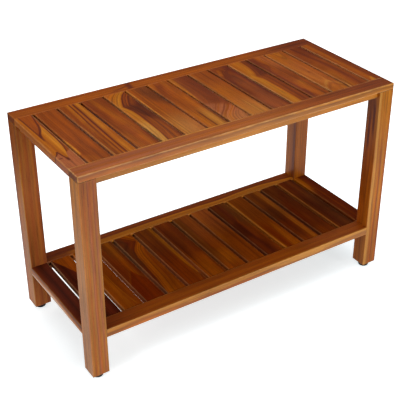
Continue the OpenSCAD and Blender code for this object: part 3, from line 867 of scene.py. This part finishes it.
SEAT_FRAME = {
    "seat_end_left": """
    tones: -20 honey, -15 amber, -10 honey, -4 amber, 2 honey, 8 straw, 20 honey
    wood: waver 0.6, streaking 0.12, streak russet, mottle 0.3, lines 0.3, threads 0.7, worn 0.6
    russet: left 14/-7.7 60/-9 112/-10.6, right 14/-7.5 28/-5 45/3 67/9 110/16.5 125/19, front 12, soft 1.5
    chestnut 0.6: line 20/-5 60/-1 112/3, wide 5, front 30, soft 4/30
    plum 0.9: line 5/-7.6 14/-7.7 60/-9 112/-10.6 117/-11, wide 3, front 2, soft 1.6
    plum 0.95: line 14/-7 28/-4.5 45/3 67/9 110/16.5 125/19, wide 5.2, front 14, soft 1.6
    russet: left -84/2 -70/5.5 -46/10.5 -10/14 30/15 74/12 90/14 108/17, front -90, soft 1.5
    chestnut 0.7: left 15.5, front -80, soft 3
    plum 0.9: line -84/2.5 -70/6 -46/11 -10/14.5 30/15.4 108/17.5, wide 2.8, front -84, soft 1.6
    rose: front -130, back -18/-66 -12/-60 -8/-51 -5/-66 -2/-84 2/-78 6/-60 19/-50, soft 2/3, sharp
    plum: line -68/-19 -60/-12 -52/-8.6, wide 3.2, ends -69/-50, soft 2/3, sharp
    plum: line -84/-1.6 -67/-5 -52/-7.8, wide 3.2, ends -86/-50, soft 2/3, sharp
    plum 0.85: sides -17/-9, ends -79/-75, soft 2/2
    plum 0.8: sides -4/1.5, ends -90/-78, soft 2/4
    """,
    "seat_end_right": """
    tones: -20 amber, -12 russet, -5 amber, 1.5 russet, 4 walnut, 10 chestnut, 14 walnut, 20 plum
    wood: dry 0.9, mottle 0.3, streaking 0.25, threads 0.8
    straw 0.9: left -117/-12 -98/-3, right 0.5, ends -130/-98, soft 2/10
    """,
    "seat_rail_back": """
    tones: -20 chestnut, -12 russet, -5 chestnut, -1 amber, 3 russet, 8 amber, 13 russet, 20 amber
    wood: mottle 0.45, streaking 0.3, streak chestnut, threads 0.8
    plum 0.6: line -155/10 -130/4 -104/-8, wide 5, ends -152/-104, soft 4/24
    plum 0.85: right 14, front -18/-110 14/-116, back -18/-99 14/-103, soft 4/9
    plum 0.8: front 250, soft 2/150
    """,
    "seat_rail_front": """
    tones: -20 rose, -14 amber, -9 rose, -5 rose, 3 amber, 8 rose, 12 rose, 16 honey, 20 honey
    wood: mottle 0.3, shine 0.45, streaking 0.3, streak chestnut, threads 0.8, worn 1
    straw 0.9: line -225/-16.4 -60/-16.8, wide 3.4, ends -228/-30, soft 1.5/30
    russet 0.9: right 16, front 90, soft 3/140
    chestnut 0.45: right 16, front 220, soft 3/120
    honey 0.35: sides -15/16, ends -150/120, soft 3/120
    straw 0.95: left 16.8, front -90, soft 0.6/240
    amber 0.5: left 16.8, back -190, soft 0.6/120
    plum 0.6: sides -12/-8.5, front 190, soft 2/60
    plum 0.6: sides -2/1, front 160, soft 2/60
    plum 0.6: sides 5.5/8, front 210, soft 2/60
    walnut 0.5: right 16, front 285, soft 3/60
    """,
}

APRONS = {
    "apron_front": """
    tones: -20 honey, 0 straw, 20 honey
    wood: threads 0.8, mottle 0.4
    sapwood 0.7: ends -400/40, deep -99/-2, soft 2/120
    sapwood 0.3: ends -170/400, soft 2/160
    sand 0.75: ends -400/-180, soft 2/120
    """,
    "apron_back": """
    tones: -20 amber, 0 russet, 20 amber
    """,
    "apron_left": """
    tones: -20 russet, 0 amber, 20 chestnut
    """,
    "apron_right": """
    tones: -20 amber, 0 honey, 20 russet
    """,
}

LEGS = {
    "leg_front_left": """
    tones: -30 honey, -19 honey, -17 sand, -13 rose, -9 sand, -4 amber, -1 sand, 4 rose, 7 amber, 11 sand,
      15 rose, 19 sand
    wood: shine 0.28, threads 0.8, lines 0.3, pitch 2.6, streaking 0.12
    chestnut 0.55: left -16, front 110, soft 2/150
    chestnut 0.12: left -16, back -130, soft 2/120
    straw 0.75: right -17, front -60, soft 2/140
    sand 0.7: right -17, back -120, soft 2/120
    bloom 0.12: right -17, back 40, soft 2/300
    walnut 0.18: right -17, back -120, soft 2/120
    """,
    "leg_front_right": """
    tones: -30 amber, -18 amber, -12 sand, -8 honey, -5 russet, -2 sand, 2 honey, 5 amber, 7 chestnut,
      9 sand, 14 honey, 18 amber, 30 amber
    wood: shine 0.18, threads 1, lines 0.4, pitch 3, streaking 0.2, streak chestnut
    straw 0.6: left -16, front 110, soft 2/160
    straw 0.5: left 4, front 190, soft 6/40
    russet 0.4: left -16, back -110, soft 2/120
    sapwood 0.85: right -220/-9 0/-9.5 220/-13.5, deep 17.2/99, soft 1.5
    russet 0.75: right -17, back 120, soft 3/100
    chestnut 0.6: right -17, ends -80/90, deep -99/-2, soft 3/100
    sand 0.4: right -17, back -150, soft 3/80
    plum 0.5: right -17, front 160, deep -99/4, soft 3/60
    plum 0.9: right -17, ends 84/165, deep -9/-2, soft 3/40
    plum 0.9: right -17, ends 120/190, deep 3/10, soft 3/40
    """,
    "leg_back_left": """
    tones: -30 honey, -18 honey, -13 sand, -10 russet, -6 sand, 0 amber, 4 russet, 8 sand, 11 straw,
      14 honey, 16 chestnut, 30 amber
    wood: shine 0.1, threads 0.8, lines 0.3, pitch 2.8
    walnut 0.6: right -17, front 120, soft 2/150
    chestnut 0.5: right -17, deep -99/-8
    bloom 0.15: right -17, back -40, soft 2/300
    walnut 0.18: right -17, back -20, soft 2/300
    chestnut 0.35: left -16, front 140, soft 2/120
    rose 0.6: left -16, back 120, soft 2/160
    """,
    "leg_back_right": """
    tones: -30 honey, -18 honey, -15 amber, -8 honey, 0 honey, 5 amber, 8 honey, 14 amber, 30 honey
    wood: shine 0.24, threads 1
    walnut 0.8: right -17, deep 10/99, soft 3
    chestnut 0.4: right -17, deep -4/10, soft 3
    """,
}

SHELF_FRAME = {
    "shelf_rail_front": """
    tones: -30 amber, -16 amber, -6 russet, 4 amber, 12 russet, 17 amber, 18.5 sand, 30 sand
    wood: threads 0.9, worn 0.4
    walnut 0.6: right 16, back -270, soft 2/110
    sapwood 0.4: left 17, front 60, soft 0.6/160
    sapwood 0.15: left 17, back -140, soft 0.6/160
    """,
    "shelf_rail_back": """
    tones: -30 chestnut, -16 russet, -12 walnut, -6 russet, -1 walnut, 1.2 walnut, 2.6 straw, 10 honey,
      16 straw, 30 amber
    wood: shine 0.2, threads 0.8, bend -330/6 -270/4 -180/0.5 -60/-1 60/0 120/2 180/-1 230/-2 280/3 330/9
    walnut 0.8: back -268, soft 2/40
    """,
    "shelf_end_left": """
    tones: -30 bloom, -19.4 bloom, -18 honey, -16.5 walnut, -8 plum, 2 umber, 10 plum, 30 umber
    wood: shine 0.12, threads 0.8, worn 0.5
    """,
    "shelf_end_right": """
    tones: -30 walnut, -16 amber, -8 walnut, 0 walnut, 8 plum, 30 walnut
    wood: shine 0, threads 0.8
    plum 0.75: right -6, back 50, soft 6/80
    honey 0.7: right -6, front 60, soft 6/70
    """,
}


# ---- Operators ----

# A board's seed sets its noise: where the seeds of each group start, and how far apart they are
SHELF_SLAT_SEED = 60.0
SEAT_FRAME_SEED = 130.0
APRON_SEED = 160.0
LEG_SEED = 190.0
SHELF_FRAME_SEED = 220.0
SEAT_SLAT_STEP = 3.7
SHELF_SLAT_STEP = 4.3
FRAME_STEP = 5.1
# How rough and how pale the sides of the shelf's slats are made, the pale being painted light in the gaps:
# at the left end, less with each slat, and at the least
DRIEST_AND_LIGHTEST = 0.75
DRY_AND_LIGHT_STEP = 0.075
LEAST_DRY_AND_LIGHT = 0.15


class BENCH_OT_finishes(bpy.types.Operator):
    """Make the shared node groups for wood, plastic and metal"""

    bl_idname = "bench.finishes"
    bl_label = "Shared Finishes"

    def execute(self, context):
        make_board_place()
        make_growth()
        make_figure_patch()
        make_teak_figure()
        make_oiled_surface()
        make_cast_speckle()
        return {"FINISHED"}


class BENCH_OT_seat_slats(bpy.types.Operator):
    """Give each slat of the seat its own teak"""

    bl_idname = "bench.seat_slats"
    bl_label = "Seat Slats"

    def execute(self, context):
        for number, recipe in SEAT_SLATS.items():
            teak(f"seat_slat_{number}", SEAT_SLAT_STEP * number, recipe)
        return {"FINISHED"}


class BENCH_OT_shelf_slats(bpy.types.Operator):
    """Give each slat of the shelf its own teak, with rougher sides and painted light in its gaps, more
    towards the left
    """

    bl_idname = "bench.shelf_slats"
    bl_label = "Shelf Slats"

    def execute(self, context):
        for number, recipe in SHELF_SLATS.items():
            dry = max(LEAST_DRY_AND_LIGHT, DRIEST_AND_LIGHTEST - DRY_AND_LIGHT_STEP * number)
            seed = SHELF_SLAT_SEED + SHELF_SLAT_STEP * number
            teak(f"shelf_slat_{number}", seed, recipe, shine=0.0, dry=dry)
        return {"FINISHED"}


def dress(boards, seed):
    """Gives the boards of a group their teak, each with its own seed."""
    for number, (node, recipe) in enumerate(boards.items()):
        teak(node, seed + FRAME_STEP * number, recipe)
    return {"FINISHED"}


class BENCH_OT_seat_frame(bpy.types.Operator):
    """Give the rails round the seat their teak"""

    bl_idname = "bench.seat_frame"
    bl_label = "Seat Frame"

    def execute(self, context):
        return dress(SEAT_FRAME, SEAT_FRAME_SEED)


class BENCH_OT_aprons(bpy.types.Operator):
    """Give the aprons under the seat their teak"""

    bl_idname = "bench.aprons"
    bl_label = "Aprons"

    def execute(self, context):
        return dress(APRONS, APRON_SEED)


class BENCH_OT_legs(bpy.types.Operator):
    """Give the four legs their teak"""

    bl_idname = "bench.legs"
    bl_label = "Legs"

    def execute(self, context):
        return dress(LEGS, LEG_SEED)


class BENCH_OT_shelf_frame(bpy.types.Operator):
    """Give the rails round the shelf their teak"""

    bl_idname = "bench.shelf_frame"
    bl_label = "Shelf Frame"

    def execute(self, context):
        return dress(SHELF_FRAME, SHELF_FRAME_SEED)


class BENCH_OT_dowels(bpy.types.Operator):
    """Give the hidden dowels their pale wood"""

    bl_idname = "bench.dowels"
    bl_label = "Dowels"

    def execute(self, context):
        pale = speckled("pale_dowel", (0.62, 0.44, 0.25), (0.72, 0.55, 0.34), 0.6, 0.2, 0.0001)
        cover("leg_dowels", pale)
        cover("apron_dowels", pale)
        return {"FINISHED"}


class BENCH_OT_glides(bpy.types.Operator):
    """Finish the foot pads and inserts, and cut the threads of the studs"""

    bl_idname = "bench.glides"
    bl_label = "Glides"

    def execute(self, context):
        black = ((0.003, 0.003, 0.004), (0.009, 0.009, 0.010))
        silver = ((0.55, 0.56, 0.58), (0.72, 0.72, 0.72))
        nylon = speckled("black_nylon", *black, 0.4, 0.2, 0.00008, shine=0.2)
        zinc = speckled("zinc_plate", *silver, 0.32, 0.3, 0.00004, 1.0, 900.0)
        for corner in CORNERS:
            cover("glide_pad_" + corner, nylon)
            cover("glide_insert_" + corner, zinc)
            thread = make_thread("glide_thread_" + corner, "glide_stud_" + corner, zinc)
            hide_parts("glide_stud_" + corner)
            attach(thread, "stud_" + corner)
        return {"FINISHED"}


# A stud's thread: rows of points in one turn, and the parts of the pitch at its flat crest and flanks
ROWS_IN_TURN = 8
FLAT = 0.12
FLANKS = 0.76


def make_thread(name, node, material):
    """A threaded rod in the place of a plain stud: rings of points whose radius follows a helix,
    with plain bevelled ends."""
    sizes = bpy.context.scene.bench_glides
    low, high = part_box(node)
    axis = (low + high) / 2
    crest = (high.x - low.x) / 2
    rows = int((high.z - low.z) / (sizes.pitch / ROWS_IN_TURN))
    mesh = bmesh.new()
    last = None
    for row in range(rows + 1):
        z = low.z + (high.z - low.z) * row / rows
        limit = crest - max(0.0, sizes.depth - min(z - low.z, high.z - z))
        ring = []
        for side in range(sizes.sides):
            turn = side / sizes.sides
            # A right-hand thread: its crest climbs as it goes round anticlockwise
            phase = ((z - low.z) / sizes.pitch - turn) % 1.0
            tooth = min(1.0, max(0.0, (abs(phase - 0.5) * 2 - FLAT) / FLANKS))
            radius = min(limit, crest - sizes.depth * tooth)
            angle = turn * math.tau
            point = (axis.x + radius * math.cos(angle), axis.y + radius * math.sin(angle), z)
            ring.append(mesh.verts.new(point))
        if last:
            for side in range(sizes.sides):
                after = (side + 1) % sizes.sides
                mesh.faces.new((last[side], last[after], ring[after], ring[side]))
        else:
            mesh.faces.new(list(reversed(ring)))
        last = ring
    mesh.faces.new(last)
    bmesh.ops.recalc_face_normals(mesh, faces=mesh.faces)
    return to_object(mesh, name, material)


def to_object(mesh, name, material):
    """Turns mesh code into a named object with its material, smooth where its faces have four sides."""
    data = bpy.data.meshes.new(name)
    mesh.to_mesh(data)
    mesh.free()
    for face in data.polygons:
        face.use_smooth = len(face.vertices) == 4
    data.materials.append(material)
    return place_in_scene(bpy.data.objects.new(name, data))


def place_in_scene(made):
    """Links a new object to the scene."""
    bpy.context.scene.collection.objects.link(made)
    return made


class BENCH_OT_stage(bpy.types.Operator):
    """Lay the pale floor, hang the soft lights and set the camera"""

    bl_idname = "bench.stage"
    bl_label = "Studio"

    def execute(self, context):
        stage = context.scene.bench_stage
        make_floor(stage)
        make_surround(context.scene)
        softbox("overhead", (0.2, 0.3, 2.6), (0.2, 0.3, 0.45), 3.2, 2.8, stage.overhead)
        softbox("front", (0.3, -2.4, 0.6), (0.0, 0.0, 0.30), 2.4, 0.9, stage.front)
        softbox("side", (-2.3, -0.2, 1.0), (0.0, 0.0, 0.30), 1.6, 1.0, stage.side)
        make_camera(context.scene)
        context.scene.view_settings.view_transform = "Standard"
        return {"FINISHED"}


# The bench's footprint, and the colours of the floor's paint and of its glow: a little blue makes
# up for the red light off the wood, and far away the sweep is plain white
HALF_LENGTH = 0.37
HALF_DEPTH = 0.155
PAINT = (0.97, 1.0, 1.02)
LEFT_GLOW = (0.95, 1.004, 1.01, 1.0)
GLOW = (0.93, 1.012, 1.03, 1.0)
FAR_GLOW = (1.16, 1.16, 1.16, 1.0)


def make_floor(stage):
    """A round floor, lit from above. From below it is clear, so that the underside can be seen."""
    material, tree, _ = start_material("pale_floor")
    tree.nodes.clear()
    place = add(tree, "TexCoord").outputs["Object"]
    tooth = noise(move("SCALE", place, 90.0), 4.0, 3.0)
    x, y, _ = split(place)
    wide = calc("ABSOLUTE", x)
    deep = calc("ABSOLUTE", y)
    away = calc("MAXIMUM", calc("SUBTRACT", wide, HALF_LENGTH), calc("SUBTRACT", deep, HALF_DEPTH))
    # The bench mirrors only the lit sheet round it: past its edges, the floor is dark to the wood,
    # and so is the ground close round its feet
    sheet = times(
        ease(x, -0.85, -0.34, 0.12, 1.0),
        ease(x, 0.78, 1.0, 1.0, 0.12),
        ease(y, 0.35, 1.0, 1.0, 0.15),
        ease(y, -1.4, -1.0, 0.12, 1.0),
        ease(away, 0.0, 0.5, 0.6, 1.0),
    )
    seen = add(tree, "LightPath").outputs["Is Camera Ray"]
    bright = calc("MAXIMUM", seen, sheet)
    grey = times(ease(tooth, 0.2, 0.8, 0.79, 0.81), bright)
    paint = add(tree, "BsdfDiffuse", {"Color": move("SCALE", PAINT, grey)})
    # The sweep glows less under the bench, which leaves it a soft shadow
    loss = times(
        ease(x, -0.36, -0.18, 0.40, 0.31),
        ease(deep, 0.07, 0.20, 1.0, 0.0),
        ease(wide, 0.36, 0.50, 1.0, 0.0),
    )
    strength = times(calc("SUBTRACT", 1.0, loss), bright, stage.floor_glow)
    hue = tint(ease(x, -0.4, -0.1), LEFT_GLOW, GLOW)
    hue = tint(times(ease(away, 0.35, 1.1), seen), hue, FAR_GLOW)
    glow = add(tree, "Emission", {"Color": hue, "Strength": strength})
    lit = add(tree, "AddShader", {0: paint.outputs[0], 1: glow.outputs[0]}).outputs[0]
    clear = add(tree, "BsdfTransparent").outputs[0]
    below = add(tree, "NewGeometry").outputs["Backfacing"]
    both = add(tree, "MixShader", {0: below, 1: lit, 2: clear}).outputs[0]
    add(tree, "OutputMaterial", {"Surface": both})
    mesh = bmesh.new()
    bmesh.ops.create_circle(mesh, cap_ends=True, segments=96, radius=stage.floor_radius)
    for face in mesh.faces:
        if face.normal.z < 0:
            face.normal_flip()
    floor = to_object(mesh, "studio_floor", material)


def make_surround(scene):
    """White walls to the eye, which give the bench only a little light."""
    world = bpy.data.worlds.new("studio_surround")
    world.use_nodes = True
    tree = world.node_tree
    tree.nodes.clear()
    seen = add(tree, "LightPath").outputs["Is Camera Ray"]
    inputs = {"Color": (1.0, 1.0, 1.0, 1.0), "Strength": ease(seen, 0.0, 1.0, 0.03, 1.0)}
    add(tree, "OutputWorld", {"Surface": add(tree, "Background", inputs).outputs[0]})
    scene.world = world


def softbox(name, place, aim, wide, high, power):
    """A rectangular light at one place, turned to another."""
    light = bpy.data.lights.new("softbox_" + name, "AREA")
    light.shape = "RECTANGLE"
    light.size = wide
    light.size_y = high
    light.energy = power
    holder = place_in_scene(bpy.data.objects.new("softbox_" + name, light))
    holder.location = place
    holder.rotation_mode = "QUATERNION"
    holder.rotation_quaternion = (Vector(aim) - Vector(place)).to_track_quat("-Z", "Y")


# The camera: its turn, rise and roll in degrees, how far it stands from what it looks at, and its
# lens and sensor in millimetres with the shift that frames the bench
CAMERA_TURN = -34.417
CAMERA_RISE = 30.622
CAMERA_ROLL = 0.665
CAMERA_AIM = (0.0618, 0.0302, 0.2027)
CAMERA_AWAY = 2.0594
LENS = {
    "lens": 83.26,
    "sensor_width": 36.0,
    "shift_x": -0.0585,
    "shift_y": -0.016,
    "clip_start": 0.05,
    "clip_end": 100.0,
}


def make_camera(scene):
    """Looks down at the bench from its front left."""
    turn = math.radians(CAMERA_TURN)
    rise = math.radians(CAMERA_RISE)
    roll = math.radians(CAMERA_ROLL)
    level = math.cos(rise)
    back = Vector((math.sin(turn) * level, -math.cos(turn) * level, math.sin(rise)))
    right = (-back).cross(Vector((0.0, 0.0, 1.0))).normalized()
    up = right.cross(-back)
    tilted = math.cos(roll) * right + math.sin(roll) * up
    up = math.cos(roll) * up - math.sin(roll) * right
    lens = bpy.data.cameras.new("studio_camera")
    for key, value in LENS.items():
        setattr(lens, key, value)
    eye = place_in_scene(bpy.data.objects.new("studio_camera", lens))
    stand = Matrix.Translation(Vector(CAMERA_AIM) + back * CAMERA_AWAY)
    eye.matrix_world = stand @ Matrix((tilted, up, back)).transposed().to_4x4()
    scene.camera = eye


class BENCH_PT_panel(bpy.types.Panel):
    """Steps and sizes of the bench"""

    bl_idname = "BENCH_PT_panel"
    bl_label = "Slatted Bench"
    bl_space_type = "VIEW_3D"
    bl_region_type = "UI"
    bl_category = "Bench"

    def draw(self, context):
        for step in STEPS:
            self.layout.operator(step.bl_idname)
        for label in SETTINGS:
            sizes = getattr(context.scene, label)
            box = self.layout.box()
            for key in sizes.__annotations__:
                box.prop(sizes, key)


STEPS = (
    BENCH_OT_finishes,
    BENCH_OT_seat_slats,
    BENCH_OT_seat_frame,
    BENCH_OT_aprons,
    BENCH_OT_legs,
    BENCH_OT_shelf_slats,
    BENCH_OT_shelf_frame,
    BENCH_OT_dowels,
    BENCH_OT_glides,
    BENCH_OT_stage,
)
SETTINGS = {
    "bench_tones": BENCH_PG_tones,
    "bench_surface": BENCH_PG_surface,
    "bench_glides": BENCH_PG_glides,
    "bench_stage": BENCH_PG_stage,
}


def register():
    for kind in (*SETTINGS.values(), *STEPS, BENCH_PT_panel):
        bpy.utils.register_class(kind)
    for label, kind in SETTINGS.items():
        setattr(bpy.types.Scene, label, PointerProperty(type=kind))


def unregister():
    for label in SETTINGS:
        delattr(bpy.types.Scene, label)
    for kind in reversed((*SETTINGS.values(), *STEPS, BENCH_PT_panel)):
        bpy.utils.unregister_class(kind)


def main():
    register()
    for step in STEPS:
        part, name = step.bl_idname.split(".")
        getattr(getattr(bpy.ops, part), name)()


if __name__ == "__main__":
    main()
